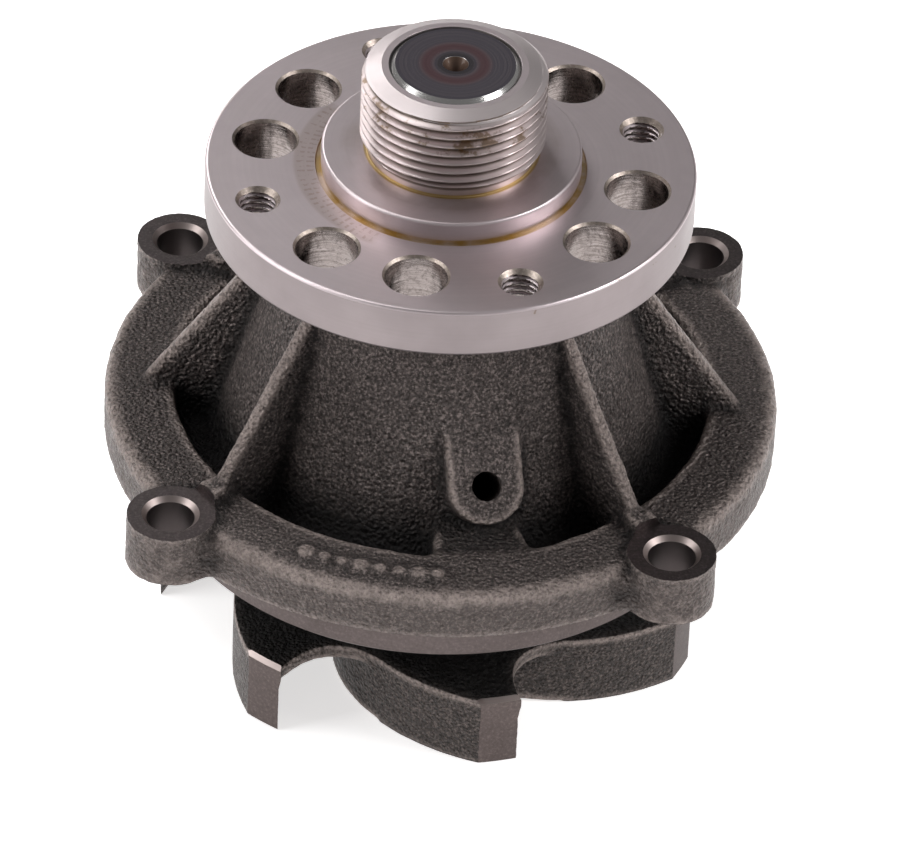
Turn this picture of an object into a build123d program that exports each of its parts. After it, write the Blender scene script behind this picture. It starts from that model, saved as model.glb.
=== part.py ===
from build123d import *
import math
import os

# Engine water pump: cast housing with an integral-shaft bearing, a face seal,
# a machined drive hub with a threaded nose, and an open cast impeller.
# Frame: origin on the shaft axis at the mounting face, +Z along the shaft
# towards the threaded nose. Millimetres.

# ---------------------------------------------------------------- dimensions
# housing
RIM_R = 66.0                 # outer radius of the mounting rim
RIM_H = 10.0                 # rim thickness above the mounting face
RIM_EDGE = 2.2               # rounded outer top corner of the rim
POCKET_R = 52.4              # outer wall of the pockets between the ribs
POCKET_FLOOR = 2.5           # height of the pocket floor
CONE_BASE_R = 45.5           # snout cone at the pocket floor
CONE_TOP_R = 33.0            # snout cone at its collar
COLLAR_Z = 44.0              # where the cone meets the straight collar
SNOUT_TOP = 51.5             # front face of the snout
REGISTER_R = 55.0            # turned register that enters the engine bore
REGISTER_H = 14.0            # depth of the register below the mounting face
CORE_R_IN = 24.5             # cored ring on the underside, inner radius
CORE_R_OUT = 48.5            # and outer radius
CORE_TOP = -4.5              # roof of the cored ring

# ears
EAR_PCR = 68.25              # radius of the ear hole circle
EAR_ANGLES = [45.0, 144.7, 225.0, 315.0]   # one hole is offset so it fits one way
EAR_R = 8.5                  # ear boss radius
EAR_H = 11.0                 # machined ear face above the mounting face
EAR_HOLE_R = 4.65            # clearance hole
EAR_HOLE_CH = 0.95           # chamfer at the mouth
SPOT_R = 9.1                 # spot-face radius
EAR_BLEND = 3.5              # blend between ear and rim

# ribs: crest runs straight from the collar down to the rim
RIB_ANGLES = [184.9, 0.8, 225.0, 316.2, 45.0, 144.7]
RIB_EAR_ANGLES = [225.0, 316.2, 45.0, 144.7]
CREST_IN = (29.2, 51.4)      # radius, height at the collar
CREST_OUT = (58.9, 9.9)      # radius, height at the rim
RIB_TOP_W = 1.7              # crest width
RIB_DRAFT = 3.2              # draft of each flank, degrees

# weep boss
WEEP_ANGLE = 285.6
WEEP_TILT = 38.0             # rise of the boss axis above horizontal
WEEP_R = 44.3                # radius of the hole centre on the boss face
WEEP_Z = 19.2                # height of the hole centre
WEEP_HALF_W = 7.4            # half width of the boss
WEEP_HOLE_R = 2.85           # drain hole

# bearing
BRG_R = 26.0                 # bearing outer radius
BRG_Z0, BRG_Z1 = 9.0, 50.5   # bearing outer ring span
RING_IN_R = 19.0             # bore of the outer ring
SHAFT_R = 12.5               # shaft radius in bearing and hub
PITCH_R = 16.0               # pitch radius of balls and rollers
BALL_R, GROOVE_R = 4.65, 4.70
BALL_Z = 40.0
N_BALLS = 9
ROLLER_R, ROLLER_L = 3.45, 12.0
ROLLER_Z = 20.0
N_ROLLERS = 10
TRACK_R = 19.5

# hub
FLANGE_TOP = 63.5
FLANGE_T = 10.0
FLANGE_R = 47.35
FLANGE_CH = 0.55
HUB_BOSS_R, HUB_BOSS_H = 21.0, 1.5
PILOT_R, PILOT_H = 25.1, 4.3
NOSE_R = 17.9                # thread major radius, 2 mm pitch
NOSE_H = 23.4                # nose face above the flange face
RELIEF_R, RELIEF_TOP = 16.4, 7.5
HUB_ANGLE = 204.2            # first tapped hole
TAPPED_PCR, TAPPED_R = 39.2, 3.4
THROUGH_PCR, THROUGH_R = 36.4, 6.0

# shaft
SHAFT_END_Z = 87.3
SHAFT_STEP_Z = 3.0
REAR_R = 9.5
REAR_Z = -41.0

# impeller
IMP_R = 54.3
IMP_TOP = -26.0
PLATE_T = 3.4
VANE_BOTTOM = -41.6
N_VANES = 7
VANE_ANGLE = -119.25         # pressure-side tip of the first vane
PITCH_DEG = 360.0 / N_VANES
SPIRAL = 0.477               # radius gained per degree along a vane
TIP_DEG = 8.0                # angle taken up by the turned vane tip
PLATE_LIP = 0.2              # plate edge ahead of the vane at its tip, degrees

# seal
SEAL_BORE_R = 18.5
SEAL_SEAT_Z = -13.5
CHAMBER_R = 21.0
CHAMBER_Z = -3.5


def pol(r, deg):
    return (r * math.cos(math.radians(deg)), r * math.sin(math.radians(deg)))


def radial_plane(r, deg, z=0.0):
    """Plane facing outwards at radius r, local x tangential, local y up."""
    a = math.radians(deg)
    return Plane(origin=(r * math.cos(a), r * math.sin(a), z),
                 x_dir=(-math.sin(a), math.cos(a), 0),
                 z_dir=(math.cos(a), math.sin(a), 0))


# ---------------------------------------------------------------- housing
ear_xy = [pol(EAR_PCR, a) for a in EAR_ANGLES]
tan_d = math.tan(math.radians(RIB_DRAFT))


def rib_section(zc):
    """Half-outline of a drafted rib whose crest is at height zc."""
    w = RIB_TOP_W / 2
    wb = w + 0.45 + (zc - 0.6) * tan_d
    return [(-wb, 0), (-w - 0.45, zc - 0.6), (-w + 0.25, zc),
            (w - 0.25, zc), (w + 0.45, zc - 0.6), (wb, 0)]


with BuildPart() as pump_housing:
    # rim, pocket ring, cone and snout in one turned profile
    with BuildSketch(Plane.XZ):
        with BuildLine():
            Polyline((0, 0), (RIM_R, 0), (RIM_R, RIM_H - RIM_EDGE))
            RadiusArc((RIM_R, RIM_H - RIM_EDGE), (RIM_R - RIM_EDGE, RIM_H), -RIM_EDGE)
            Polyline((RIM_R - RIM_EDGE, RIM_H), (POCKET_R + 0.8, RIM_H),
                     (POCKET_R, RIM_H - 0.8), (POCKET_R - 0.6, POCKET_FLOOR + 2.2),
                     (POCKET_R - 2.2, POCKET_FLOOR),
                     (CONE_BASE_R + 0.6, POCKET_FLOOR),
                     (CONE_BASE_R - 0.6, POCKET_FLOOR + 1.6),
                     (CONE_TOP_R, COLLAR_Z), (CONE_TOP_R - 0.3, SNOUT_TOP - 1.2),
                     (CONE_TOP_R - 1.5, SNOUT_TOP), (0, SNOUT_TOP), (0, 0))
        make_face()
    revolve(axis=Axis.Z)
    # ears, blended into the rim
    with BuildSketch(Plane.XY) as ear_sk:
        Circle(RIM_R)
        with Locations(*ear_xy):
            Circle(EAR_R)
        joint_v = [v for v in ear_sk.vertices()
                   if any(abs(math.hypot(v.X - x, v.Y - y) - EAR_R) < 1e-3 for x, y in ear_xy)
                   and abs(math.hypot(v.X, v.Y) - RIM_R) < 1e-3]
        fillet(joint_v, EAR_BLEND)
        Circle(POCKET_R + 6, mode=Mode.SUBTRACT)
    extrude(amount=RIM_H - RIM_EDGE)
    with BuildSketch(Plane.XY):
        with Locations(*ear_xy):
            Circle(EAR_R)
    extrude(amount=EAR_H)
    # ribs from the collar to the rim
    for ang in RIB_ANGLES:
        r_out, z_out = CREST_OUT
        if ang in RIB_EAR_ANGLES:
            slope = (CREST_IN[1] - CREST_OUT[1]) / (CREST_OUT[0] - CREST_IN[0])
            r_out = 56.8
            z_out = CREST_OUT[1] + (CREST_OUT[0] - r_out) * slope
        with BuildSketch(radial_plane(CREST_IN[0], ang)):
            Polygon(*rib_section(CREST_IN[1]), align=None)
        with BuildSketch(radial_plane(r_out, ang)):
            Polygon(*rib_section(z_out), align=None)
        loft(ruled=True)
    # rib feet that run out into the ears
    for ang in RIB_EAR_ANGLES:
        with BuildSketch(Plane.XY.offset(0.5)):
            with Locations(Pos(*pol(58.2, ang)) * Rot(0, 0, ang)):
                Ellipse(5.2, 3.4)
        extrude(amount=12.4, taper=4)
    # solid web that carries the weep boss over the pocket
    with BuildSketch(Plane.XY.offset(1.0)):
        with BuildLine():
            a0, a1 = WEEP_ANGLE - 13.0, WEEP_ANGLE + 8.6
            Polyline(pol(53.5, a0), pol(36, a0), pol(36, a1), pol(53.5, a1), pol(53.5, (a0 + a1) / 2), pol(53.5, a0))
        make_face()
    extrude(amount=8.4)
    # weep boss, tombstone shaped
    ta = math.radians(WEEP_ANGLE)
    tt = math.radians(WEEP_TILT)
    weep_plane = Plane(origin=(WEEP_R * math.cos(ta), WEEP_R * math.sin(ta), WEEP_Z),
                       x_dir=(-math.sin(ta), math.cos(ta), 0),
                       z_dir=(math.cos(tt) * math.cos(ta), math.cos(tt) * math.sin(ta), math.sin(tt)))
    with BuildSketch(weep_plane):
        Circle(WEEP_HALF_W)
        with Locations((0, 6.5)):
            Rectangle(2 * WEEP_HALF_W, 13.0)
    extrude(amount=-15)
    # register on the underside
    with BuildSketch(Plane.XY.offset(-REGISTER_H)):
        Circle(REGISTER_R)
    extrude(amount=REGISTER_H)
    reg_edge = pump_housing.edges().filter_by(GeomType.CIRCLE).group_by(Axis.Z)[0]
    chamfer(reg_edge, 0.8)
    # cored ring and seal boss on the underside
    with BuildSketch(Plane.XY.offset(-REGISTER_H)):
        Circle(CORE_R_OUT)
        Circle(CORE_R_IN, mode=Mode.SUBTRACT)
    extrude(amount=REGISTER_H + CORE_TOP, mode=Mode.SUBTRACT)
    with BuildSketch(Plane.XY.offset(-REGISTER_H)):
        Circle(CORE_R_IN)
    extrude(amount=SEAL_SEAT_Z + REGISTER_H, mode=Mode.SUBTRACT)
    # bearing bore, drain chamber and seal bore
    with BuildSketch(Plane.XY.offset(SNOUT_TOP)):
        Circle(BRG_R)
    extrude(amount=-(SNOUT_TOP - BRG_Z0), mode=Mode.SUBTRACT)
    with BuildSketch(Plane.XY.offset(BRG_Z0)):
        Circle(CHAMBER_R)
    extrude(amount=-(BRG_Z0 - CHAMBER_Z), mode=Mode.SUBTRACT)
    with BuildSketch(Plane.XY.offset(CHAMBER_Z)):
        Circle(SEAL_BORE_R)
    extrude(amount=-(CHAMBER_Z + REGISTER_H), mode=Mode.SUBTRACT)
    # weep passage into the drain chamber
    with BuildSketch(weep_plane):
        Circle(WEEP_HOLE_R)
    extrude(amount=-33, mode=Mode.SUBTRACT)
    # spot faces and clearance holes in the ears
    with BuildSketch(Plane.XY.offset(EAR_H)):
        with Locations(*ear_xy):
            Circle(SPOT_R)
    extrude(amount=12, mode=Mode.SUBTRACT)
    with BuildSketch(Plane.XY.offset(-1)):
        with Locations(*ear_xy):
            Circle(EAR_HOLE_R)
    extrude(amount=EAR_H + 2, mode=Mode.SUBTRACT)
    mouth = (pump_housing.edges().filter_by(GeomType.CIRCLE)
             .filter_by(lambda e: abs(e.radius - EAR_HOLE_R) < 1e-4
                        and abs(e.center().Z - EAR_H) < 1e-4))
    chamfer(mouth, EAR_HOLE_CH)
pump_housing.part.label = "pump_housing"

# ---------------------------------------------------------------- bearing
with BuildPart() as bearing_outer_ring:
    with BuildSketch(Plane.XZ) as s:
        with BuildLine():
            Polyline((RING_IN_R, BRG_Z0), (BRG_R - 0.8, BRG_Z0), (BRG_R, BRG_Z0 + 0.8),
                     (BRG_R, BRG_Z1 - 0.8), (BRG_R - 0.8, BRG_Z1), (RING_IN_R, BRG_Z1),
                     (RING_IN_R, BRG_Z0))
        make_face()
        # roller track
        with Locations((TRACK_R - 1.0, ROLLER_Z)):
            Rectangle(2.0, ROLLER_L + 0.3, mode=Mode.SUBTRACT)
        # ball groove
        with Locations((PITCH_R, BALL_Z)):
            Circle(GROOVE_R, mode=Mode.SUBTRACT)
    revolve(axis=Axis.Z)
bearing_outer_ring.part.label = "bearing_outer_ring"

with BuildPart() as bearing_balls:
    with Locations(*[(pol(PITCH_R, 360.0 / N_BALLS * i) + (BALL_Z,)) for i in range(N_BALLS)]):
        Sphere(BALL_R)
bearing_balls.part.label = "bearing_balls"

with BuildPart() as ball_cage:
    with BuildSketch(Plane.XY.offset(BALL_Z - 6.2)):
        Circle(17.1)
        Circle(14.9, mode=Mode.SUBTRACT)
    extrude(amount=9.4)
    with Locations(*[(pol(PITCH_R, 360.0 / N_BALLS * i) + (BALL_Z,)) for i in range(N_BALLS)]):
        Sphere(BALL_R + 0.1, mode=Mode.SUBTRACT)
    # snap-in mouths on one side of the pockets
    with BuildSketch(Plane.XY.offset(BALL_Z)):
        with PolarLocations(PITCH_R, N_BALLS):
            Rectangle(4.0, 7.6)
    extrude(amount=5, mode=Mode.SUBTRACT)
ball_cage.part.label = "ball_cage"

with BuildPart() as bearing_rollers:
    with BuildSketch(Plane.XY.offset(ROLLER_Z - ROLLER_L / 2)):
        with PolarLocations(PITCH_R, N_ROLLERS):
            Circle(ROLLER_R)
    extrude(amount=ROLLER_L)
    chamfer(bearing_rollers.edges().filter_by(GeomType.CIRCLE), 0.35)
bearing_rollers.part.label = "bearing_rollers"

with BuildPart() as roller_cage:
    with BuildSketch(Plane.XY.offset(ROLLER_Z - 7.4)):
        Circle(17.1)
        Circle(14.9, mode=Mode.SUBTRACT)
    extrude(amount=14.8)
    with BuildSketch(Plane.XY.offset(ROLLER_Z - ROLLER_L / 2 - 0.1)):
        with PolarLocations(PITCH_R, N_ROLLERS):
            Circle(ROLLER_R + 0.1)
    extrude(amount=ROLLER_L + 0.2, mode=Mode.SUBTRACT)
roller_cage.part.label = "roller_cage"

with BuildPart() as bearing_front_seal:
    with BuildSketch(Plane.XZ):
        with BuildLine():
            Polyline((SHAFT_R + 0.05, 47.2), (SHAFT_R + 0.9, 47.0), (RING_IN_R, 47.0),
                     (RING_IN_R, 49.4), (SHAFT_R + 1.6, 49.4), (SHAFT_R + 1.4, 48.2),
                     (SHAFT_R + 0.05, 47.9), (SHAFT_R + 0.05, 47.2))
        make_face()
    revolve(axis=Axis.Z)
bearing_front_seal.part.label = "bearing_front_seal"

with BuildPart() as bearing_rear_seal:
    with BuildSketch(Plane.XZ):
        with BuildLine():
            Polyline((SHAFT_R + 0.05, 12.2), (SHAFT_R + 0.9, 12.4), (RING_IN_R, 12.4),
                     (RING_IN_R, 10.0), (SHAFT_R + 1.6, 10.0), (SHAFT_R + 1.4, 11.2),
                     (SHAFT_R + 0.05, 11.5), (SHAFT_R + 0.05, 12.2))
        make_face()
    revolve(axis=Axis.Z)
bearing_rear_seal.part.label = "bearing_rear_seal"

# ---------------------------------------------------------------- shaft
with BuildPart() as bearing_shaft:
    with BuildSketch(Plane.XZ):
        with BuildLine():
            Polyline((0, REAR_Z), (REAR_R - 0.8, REAR_Z), (REAR_R, REAR_Z + 0.8),
                     (REAR_R, SHAFT_STEP_Z - 1.0), (SHAFT_R - 1.0, SHAFT_STEP_Z),
                     (SHAFT_R, SHAFT_STEP_Z + 0.6), (SHAFT_R, SHAFT_END_Z - 0.9),
                     (SHAFT_R - 0.95, SHAFT_END_Z), (0, SHAFT_END_Z), (0, REAR_Z))
        make_face()
    revolve(axis=Axis.Z)
    # ball groove ground into the shaft
    with BuildSketch(Plane.XZ):
        with Locations((PITCH_R, BALL_Z)):
            Circle(GROOVE_R)
    revolve(axis=Axis.Z, mode=Mode.SUBTRACT)
    # centre drillings
    with BuildSketch(Plane.XZ):
        with BuildLine():
            Polyline((0, SHAFT_END_Z + 0.1), (2.6, SHAFT_END_Z + 0.1), (1.0, SHAFT_END_Z - 2.7),
                     (1.0, SHAFT_END_Z - 5.0), (0, SHAFT_END_Z - 5.6), (0, SHAFT_END_Z + 0.1))
        make_face()
    revolve(axis=Axis.Z, mode=Mode.SUBTRACT)
    with BuildSketch(Plane.XZ):
        with BuildLine():
            Polyline((0, REAR_Z - 0.1), (2.4, REAR_Z - 0.1), (1.0, REAR_Z + 2.4),
                     (1.0, REAR_Z + 4.4), (0, REAR_Z + 5.0), (0, REAR_Z - 0.1))
        make_face()
    revolve(axis=Axis.Z, mode=Mode.SUBTRACT)
bearing_shaft.part.label = "bearing_shaft"

# pressed dust shield in front of the bearing
with BuildPart() as front_dust_shield:
    with BuildSketch(Plane.XZ):
        with BuildLine():
            Polyline((SHAFT_R, 50.9), (24.6, 50.9), (24.9, 51.2), (24.9, 51.5),
                     (14.2, 51.5), (14.2, 51.9), (SHAFT_R, 51.9), (SHAFT_R, 50.9))
        make_face()
    revolve(axis=Axis.Z)
front_dust_shield.part.label = "front_dust_shield"

# drip slinger over the drain chamber
with BuildPart() as shaft_slinger:
    with BuildSketch(Plane.XZ):
        with BuildLine():
            Polyline((SHAFT_R, 4.2), (14.0, 4.2), (18.2, 3.0), (18.5, 3.8), (14.4, 5.2),
                     (14.4, 7.0), (SHAFT_R, 7.0), (SHAFT_R, 4.2))
        make_face()
    revolve(axis=Axis.Z)
shaft_slinger.part.label = "shaft_slinger"

# ---------------------------------------------------------------- hub
with BuildPart() as hub_flange:
    zf, zb = FLANGE_TOP, FLANGE_TOP - FLANGE_T
    zn = FLANGE_TOP + NOSE_H
    with BuildSketch(Plane.XZ):
        with BuildLine():
            Polyline((SHAFT_R, zb - HUB_BOSS_H), (HUB_BOSS_R - 0.5, zb - HUB_BOSS_H),
                     (HUB_BOSS_R, zb - HUB_BOSS_H + 0.5), (HUB_BOSS_R, zb),
                     (FLANGE_R - 0.5, zb), (FLANGE_R, zb + 0.5),
                     (FLANGE_R, zf - FLANGE_CH), (FLANGE_R - FLANGE_CH, zf),
                     (PILOT_R + 1.1, zf), (PILOT_R + 0.9, zf - 0.35), (PILOT_R, zf - 0.35),
                     (PILOT_R, zf + PILOT_H - 0.5), (PILOT_R - 0.5, zf + PILOT_H),
                     (RELIEF_R, zf + PILOT_H), (RELIEF_R, zf + RELIEF_TOP - 0.9),
                     (NOSE_R, zf + RELIEF_TOP), (NOSE_R, zn - 1.9), (17.2, zn - 1.3),
                     (14.1, zn), (SHAFT_R + 0.3, zn), (SHAFT_R, zn - 0.5),
                     (SHAFT_R, zb - HUB_BOSS_H))
        make_face()
    revolve(axis=Axis.Z)
    # eight through holes between the four tapped holes
    through = [pol(THROUGH_PCR, HUB_ANGLE + a + q) for q in (0, 90, 180, 270) for a in (30, 60)]
    with BuildSketch(Plane.XY.offset(zb)):
        with Locations(*through):
            Circle(THROUGH_R)
    extrude(amount=FLANGE_T, mode=Mode.SUBTRACT)
    tapped = [pol(TAPPED_PCR, HUB_ANGLE + q) for q in (0, 90, 180, 270)]
    with BuildSketch(Plane.XY.offset(zb)):
        with Locations(*tapped):
            Circle(TAPPED_R)
    extrude(amount=FLANGE_T, mode=Mode.SUBTRACT)
    ring = hub_flange.edges().filter_by(GeomType.CIRCLE)
    chamfer(ring.filter_by(lambda e: abs(e.radius - THROUGH_R) < 1e-4), 0.5)
    chamfer(ring.filter_by(lambda e: abs(e.radius - TAPPED_R) < 1e-4), 0.95)
hub_flange.part.label = "hub_flange"

# ---------------------------------------------------------------- seal
with BuildPart() as seal_case:
    with BuildSketch(Plane.XZ):
        with BuildLine():
            Polyline((10.8, -5.0), (17.7, -5.0), (17.7, -14.3), (21.6, -14.3), (21.6, SEAL_SEAT_Z),
                     (SEAL_BORE_R, SEAL_SEAT_Z), (SEAL_BORE_R, -4.2), (10.8, -4.2), (10.8, -5.0))
        make_face()
    revolve(axis=Axis.Z)
seal_case.part.label = "seal_case"

with BuildPart() as seal_bellows:
    with BuildSketch(Plane.XZ):
        with BuildLine():
            Polyline((11.0, -5.0), (17.6, -5.0), (17.6, -6.2), (13.2, -6.2), (13.2, -8.0),
                     (15.0, -9.0), (15.0, -13.4), (13.9, -13.4), (13.9, -9.6), (12.0, -8.6),
                     (12.0, -6.2), (11.0, -6.2), (11.0, -5.0))
        make_face()
    revolve(axis=Axis.Z)
seal_bellows.part.label = "seal_bellows"

with BuildPart() as carbon_face_ring:
    with BuildSketch(Plane.XZ):
        with BuildLine():
            Polyline((10.9, -10.4), (13.9, -10.4), (13.9, -14.6), (14.6, -14.6), (14.6, -17.0),
                     (13.4, -17.2), (13.4, -18.15), (11.2, -18.15), (10.9, -17.0), (10.9, -10.4))
        make_face()
    revolve(axis=Axis.Z)
carbon_face_ring.part.label = "carbon_face_ring"

with BuildPart() as spring_seat_ring:
    with BuildSketch(Plane.XZ):
        with BuildLine():
            Polyline((15.0, -12.2), (15.6, -12.2), (15.6, -13.4), (17.3, -13.4), (17.3, -14.0),
                     (15.0, -14.0), (15.0, -12.2))
        make_face()
    revolve(axis=Axis.Z)
spring_seat_ring.part.label = "spring_seat_ring"

with BuildPart() as seal_spring:
    with BuildLine():
        Helix(pitch=2.1, height=5.7, radius=16.45, center=(0, 0, -12.7))
    with BuildSketch(Plane(origin=(16.45, 0, -12.7), x_dir=(1, 0, 0), z_dir=(0, 1, 0))):
        Circle(0.6)
    sweep(is_frenet=True)
seal_spring.part.label = "seal_spring"

with BuildPart() as seal_mating_ring:
    with BuildSketch(Plane.XZ):
        with BuildLine():
            Polyline((10.9, -22.2), (16.0, -22.2), (16.0, -18.6), (15.6, -18.2), (11.3, -18.2),
                     (10.9, -18.6), (10.9, -22.2))
        make_face()
    revolve(axis=Axis.Z)
seal_mating_ring.part.label = "seal_mating_ring"

with BuildPart() as mating_ring_boot:
    with BuildSketch(Plane.XZ):
        with BuildLine():
            Polyline((REAR_R, -23.5), (17.2, -23.5), (17.2, -19.4), (16.0, -19.4), (16.0, -22.2),
                     (10.9, -22.2), (10.9, -18.9), (REAR_R, -18.9), (REAR_R, -23.5))
        make_face()
    revolve(axis=Axis.Z)
mating_ring_boot.part.label = "mating_ring_boot"

# ---------------------------------------------------------------- impeller
def convex(phi):
    """Radius of a vane's outer face at angle phi behind its tip."""
    return IMP_R + SPIRAL * (phi + TIP_DEG)


def concave(phi):
    return IMP_R + SPIRAL * phi


with BuildPart() as impeller:
    # scalloped back plate, one tooth per vane
    with BuildSketch(Plane.XY.offset(IMP_TOP - PLATE_T)):
        with BuildLine():
            for k in range(N_VANES):
                t = VANE_ANGLE + k * PITCH_DEG
                a, b = t + PLATE_LIP, t - TIP_DEG + 0.4
                ThreePointArc(pol(IMP_R, a), pol(IMP_R, (a + b) / 2), pol(IMP_R, b))
                pts = [pol(IMP_R, b)]
                pts += [pol(convex(-TIP_DEG - d) - 0.35, t - TIP_DEG - d) for d in (6, 12, 18)]
                pts += [pol(42.6, t - 32.6), pol(41.5, t - 37.6), pol(41.7, t - 42.4), pol(43.3, t - 46.6),
                        pol(45.8, t - 49.2), pol(49.2, t - 50.6), pol(IMP_R, t - PITCH_DEG + PLATE_LIP)]
                Spline(*pts)
        make_face()
    extrude(amount=PLATE_T)
    # curved vanes under the plate
    for k in range(N_VANES):
        t = VANE_ANGLE + k * PITCH_DEG
        with BuildSketch(Plane.XY.offset(VANE_BOTTOM)):
            with BuildLine():
                outer = [pol(convex(-TIP_DEG - d), t - TIP_DEG - d) for d in (0, 12, 24, 36, 48, 60)]
                inner = [pol(concave(-d), t - d) for d in (60, 48, 36, 24, 12, 0)]
                ThreePointArc(pol(IMP_R, t), pol(IMP_R, t - TIP_DEG / 2), pol(IMP_R, t - TIP_DEG))
                Spline(*outer)
                Line(outer[-1], inner[0])
                Spline(*inner)
            make_face()
        extrude(amount=IMP_TOP - VANE_BOTTOM)
    # inlet edge of the vanes rises towards the eye
    with BuildSketch(Plane.XZ):
        with BuildLine():
            Polyline((16.2, VANE_BOTTOM - 0.5), (29.7, VANE_BOTTOM - 0.5), (23.0, -37.2),
                     (16.2, -36.4), (16.2, VANE_BOTTOM - 0.5))
        make_face()
    revolve(axis=Axis.Z, mode=Mode.SUBTRACT)
    # hub boss
    with BuildSketch(Plane.XZ):
        with BuildLine():
            Polyline((0, -23.5), (17.4, -23.5), (19.0, IMP_TOP), (22.0, IMP_TOP), (22.0, IMP_TOP - PLATE_T),
                     (17.6, -31.4), (15.6, -39.2), (14.8, -40.0), (0, -40.0), (0, -23.5))
        make_face()
    revolve(axis=Axis.Z)
    with BuildSketch(Plane.XY.offset(-42)):
        Circle(REAR_R)
    extrude(amount=20, mode=Mode.SUBTRACT)
impeller.part.label = "impeller"

# ---------------------------------------------------------------- write out
pieces = [pump_housing, bearing_outer_ring, bearing_balls, ball_cage, bearing_rollers, roller_cage,
          bearing_front_seal, bearing_rear_seal, bearing_shaft, front_dust_shield, shaft_slinger,
          hub_flange, seal_case, seal_bellows, carbon_face_ring, spring_seat_ring, seal_spring,
          seal_mating_ring, mating_ring_boot, impeller]
for piece in pieces:
    export_step(piece.part, f"parts/{piece.part.label}.step")
    print(piece.part.label, len(piece.part.solids()), round(piece.part.volume, 1))
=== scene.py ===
import bpy
import bmesh
import math
import numpy as np
from mathutils import Matrix, Vector


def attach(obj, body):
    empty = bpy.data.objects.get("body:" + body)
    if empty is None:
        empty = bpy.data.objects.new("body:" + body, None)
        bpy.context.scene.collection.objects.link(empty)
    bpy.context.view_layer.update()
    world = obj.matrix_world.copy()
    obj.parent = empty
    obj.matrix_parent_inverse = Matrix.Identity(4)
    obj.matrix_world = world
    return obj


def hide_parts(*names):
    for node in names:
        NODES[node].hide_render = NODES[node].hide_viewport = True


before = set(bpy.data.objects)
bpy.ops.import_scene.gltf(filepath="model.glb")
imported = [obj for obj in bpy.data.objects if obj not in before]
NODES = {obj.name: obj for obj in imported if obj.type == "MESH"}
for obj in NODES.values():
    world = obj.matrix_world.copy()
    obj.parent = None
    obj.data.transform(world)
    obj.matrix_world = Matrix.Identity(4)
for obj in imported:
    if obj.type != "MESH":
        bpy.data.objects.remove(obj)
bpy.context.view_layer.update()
MM = 0.001

# ------------------------------------------------------------------ sizes, mm
ZF, ZB, ZN = 63.5, 53.5, 86.9          # flange face, flange back, nose face
EAR_PCR, EAR_H, EAR_R = 68.25, 11.0, 8.5
EAR_ANGLES = (45.0, 144.7, 225.0, 315.0)
HUB_ANGLE = 204.2
IMP_R, IMP_TOP, VANE_BOTTOM = 54.3, -26.0, -41.6
N_VANES, VANE_ANGLE, SPIRAL, TIP_DEG = 7, -119.25, 0.477, 8.0


def pol(r, deg):
    return (r * math.cos(math.radians(deg)), r * math.sin(math.radians(deg)))


# ------------------------------------------------------------------ mesh tools
def make_object(name, verts, faces):
    """Object from millimetre vertices."""
    me = bpy.data.meshes.new(name)
    v = np.asarray(verts, dtype=float) * MM
    me.from_pydata([tuple(p) for p in v], [], [tuple(f) for f in faces])
    bm = bmesh.new()
    bm.from_mesh(me)
    bmesh.ops.recalc_face_normals(bm, faces=bm.faces)
    bm.to_mesh(me)
    bm.free()
    ob = bpy.data.objects.new(name, me)
    bpy.context.scene.collection.objects.link(ob)
    return ob


def ring_lathe(name, profile, segs, rfun=None):
    """Closed profile loop turned round Z; the loop doesn't touch the axis."""
    p = np.array(profile, dtype=float)
    n = len(p)
    th = np.linspace(0, 2 * math.pi, segs, endpoint=False)
    r = np.repeat(p[:, :1], segs, axis=1)
    z = np.repeat(p[:, 1:2], segs, axis=1)
    if rfun:
        r = rfun(r, z, np.repeat(th[None, :], n, axis=0))
    v = np.stack([r * np.cos(th), r * np.sin(th), z], axis=2).reshape(-1, 3)
    i = np.arange(n)[:, None]
    j = np.arange(segs)[None, :]
    a = i * segs + j
    b = i * segs + (j + 1) % segs
    c = ((i + 1) % n) * segs + (j + 1) % segs
    d = ((i + 1) % n) * segs + j
    f = np.stack([a, b, c, d], axis=2).reshape(-1, 4)
    return make_object(name, v, f.tolist())


def axis_lathe(name, profile, segs, rfun=None, at=(0, 0), frame_m=None):
    """Open profile, bottom to top, closed by a point on the axis at each end."""
    p = np.array(profile, dtype=float)
    n = len(p)
    th = np.linspace(0, 2 * math.pi, segs, endpoint=False)
    r = np.repeat(p[:, :1], segs, axis=1)
    z = np.repeat(p[:, 1:2], segs, axis=1)
    if rfun:
        r = rfun(r, z, np.repeat(th[None, :], n, axis=0))
    v = np.stack([r * np.cos(th), r * np.sin(th), z], axis=2).reshape(-1, 3)
    v = np.vstack([v, [[0, 0, p[0, 1]], [0, 0, p[-1, 1]]]])
    lo, hi = n * segs, n * segs + 1
    faces = []
    for i in range(n - 1):
        for j in range(segs):
            k = (j + 1) % segs
            faces.append((i * segs + j, i * segs + k, (i + 1) * segs + k, (i + 1) * segs + j))
    for j in range(segs):
        k = (j + 1) % segs
        faces.append((lo, k, j))
        faces.append((hi, (n - 1) * segs + j, (n - 1) * segs + k))
    if frame_m is not None:
        m = np.array(frame_m)
        v = v @ m[:3, :3].T + m[:3, 3]
    v[:, 0] += at[0]
    v[:, 1] += at[1]
    return make_object(name, v, faces)


def prism(name, outline, z0, z1):
    n = len(outline)
    v = [(x, y, z0) for x, y in outline] + [(x, y, z1) for x, y in outline]
    f = [tuple(range(n))[::-1], tuple(range(n, 2 * n))]
    f += [(i, (i + 1) % n, n + (i + 1) % n, n + i) for i in range(n)]
    return make_object(name, v, f)


def bake_modifiers(ob):
    dg = bpy.context.evaluated_depsgraph_get()
    dg.update()
    me = bpy.data.meshes.new_from_object(ob.evaluated_get(dg), preserve_all_data_layers=True, depsgraph=dg)
    ob.modifiers.clear()
    old = ob.data
    ob.data = me
    bpy.data.meshes.remove(old)


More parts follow.
